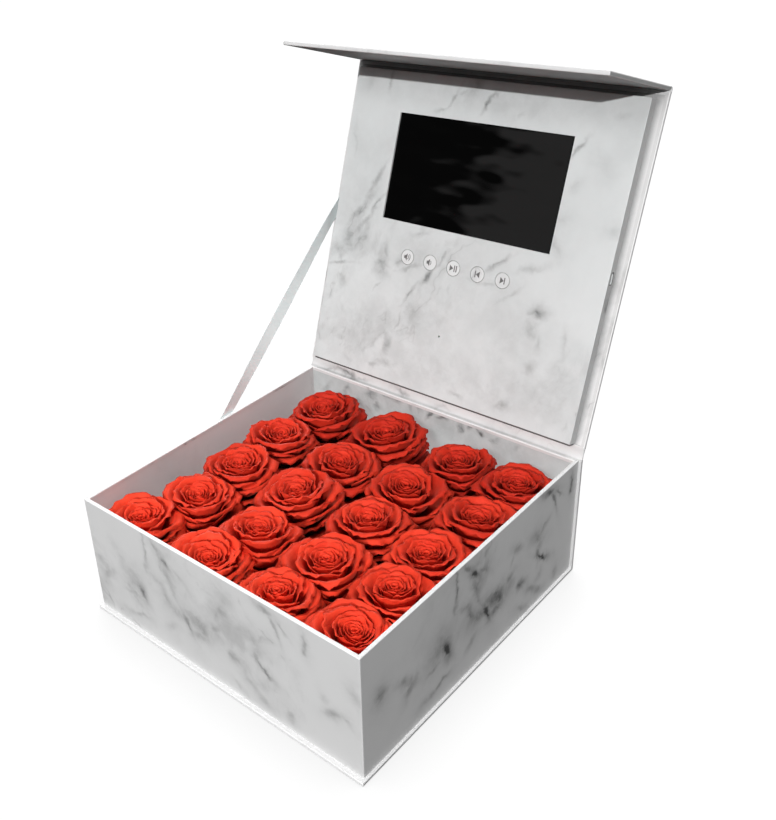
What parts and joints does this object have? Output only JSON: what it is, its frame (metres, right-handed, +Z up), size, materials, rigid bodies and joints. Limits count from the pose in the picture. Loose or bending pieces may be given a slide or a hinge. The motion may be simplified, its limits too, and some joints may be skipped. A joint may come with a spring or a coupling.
{
  "type": "video gift box",
  "caption": "Rigid marble-paper gift box whose leaning lid holds a raised video panel with a screen and push buttons, over a tray of red roses",
  "frame": {"origin": "centre of the tray, on the underside of the case's base, which rests on the table", "axes": "+Z up, +X to the box's right seen from its front, +Y towards the hinged side; the lid is open and leans back 18 degrees, as in the picture"},
  "size_m": [0.268, 0.3535, 0.3932],
  "materials": {
    "greyboard": "matte",
    "marble_paper": "satin",
    "marble_card": "satin",
    "button_card": "satin",
    "magnet": "satin",
    "foam": "matte",
    "rose_petals": "matte",
    "ribbon": "satin",
    "screen_glass": "gloss",
    "screen_frame": "satin",
    "circuit_board": "matte",
    "electronic_parts": "matte",
    "battery_pouch": "satin",
    "speaker_metal": "satin",
    "socket_steel": "satin"
  },
  "bodies": {
    "tray": {"base_board": "greyboard", "base_paper": "marble_paper", "spine_board": "greyboard", "spine_paper": "marble_paper", "tray_floor": "greyboard", "tray_front_wall": "greyboard", "tray_back_wall": "greyboard", "tray_left_wall": "greyboard", "tray_right_wall": "greyboard", "tray_paper": "marble_paper", "tray_lining": "marble_paper", "front_wall_magnets": "magnet", "ribbon_stay": "ribbon", "lid_hinge_paper": "marble_paper", "foam_insert": "foam", "rose_01": "rose_petals", "rose_02": "rose_petals", "rose_03": "rose_petals", "rose_04": "rose_petals", "rose_05": "rose_petals", "rose_06": "rose_petals", "rose_07": "rose_petals", "rose_08": "rose_petals", "rose_09": "rose_petals", "rose_10": "rose_petals", "rose_11": "rose_petals", "rose_12": "rose_petals", "rose_13": "rose_petals", "rose_14": "rose_petals", "rose_15": "rose_petals", "rose_16": "rose_petals", "rose_17": "rose_petals", "rose_18": "rose_petals", "rose_19": "rose_petals", "rose_20": "rose_petals"},
    "lid": {"lid_board": "greyboard", "lid_paper": "marble_paper", "lid_lining": "marble_paper", "panel_card": "marble_card", "panel_spacer": "greyboard", "screen_glass": "screen_glass", "screen_module": "screen_frame", "main_board": "circuit_board", "board_chips": "electronic_parts", "key_board": "circuit_board", "key_switches": "electronic_parts", "battery": "battery_pouch", "speaker": "speaker_metal", "charging_socket": "socket_steel", "light_sensor": "circuit_board", "panel_wiring": "electronic_parts", "flap_hinge_paper": "marble_paper"},
    "volume_up_button": {"volume_up_button": "button_card"},
    "volume_down_button": {"volume_down_button": "button_card"},
    "play_button": {"play_button": "button_card"},
    "previous_button": {"previous_button": "button_card"},
    "next_button": {"next_button": "button_card"},
    "flap": {"flap_board": "greyboard", "flap_paper": "marble_paper", "flap_magnets": "magnet"}
  },
  "joints": [
    {"name": "lid_hinge", "type": "hinge", "parent": "tray", "child": "lid", "pos_m": [0, 0.1334, 0.1068], "axis": [1, 0, 0], "range_deg": [0, 108], "deforming": ["ribbon_stay", "lid_hinge_paper"]},
    {"name": "flap_hinge", "type": "hinge", "parent": "lid", "child": "flap", "pos_m": [0, 0.21499, 0.36145], "axis": [-1, 0, 0], "range_deg": [0, 90.98], "deforming": ["flap_hinge_paper"]},
    {"name": "volume_up_press", "type": "slide", "parent": "lid", "child": "volume_up_button", "axis": [0, 0.9511, -0.309], "range_m": [0, 0.0003], "stiffness_N_per_m": 600, "springref_m": -0.0008},
    {"name": "volume_down_press", "type": "slide", "parent": "lid", "child": "volume_down_button", "axis": [0, 0.9511, -0.309], "range_m": [0, 0.0003], "stiffness_N_per_m": 600, "springref_m": -0.0008},
    {"name": "play_press", "type": "slide", "parent": "lid", "child": "play_button", "axis": [0, 0.9511, -0.309], "range_m": [0, 0.0003], "stiffness_N_per_m": 600, "springref_m": -0.0008},
    {"name": "previous_press", "type": "slide", "parent": "lid", "child": "previous_button", "axis": [0, 0.9511, -0.309], "range_m": [0, 0.0003], "stiffness_N_per_m": 600, "springref_m": -0.0008},
    {"name": "next_press", "type": "slide", "parent": "lid", "child": "next_button", "axis": [0, 0.9511, -0.309], "range_m": [0, 0.0003], "stiffness_N_per_m": 600, "springref_m": -0.0008}
  ]
}
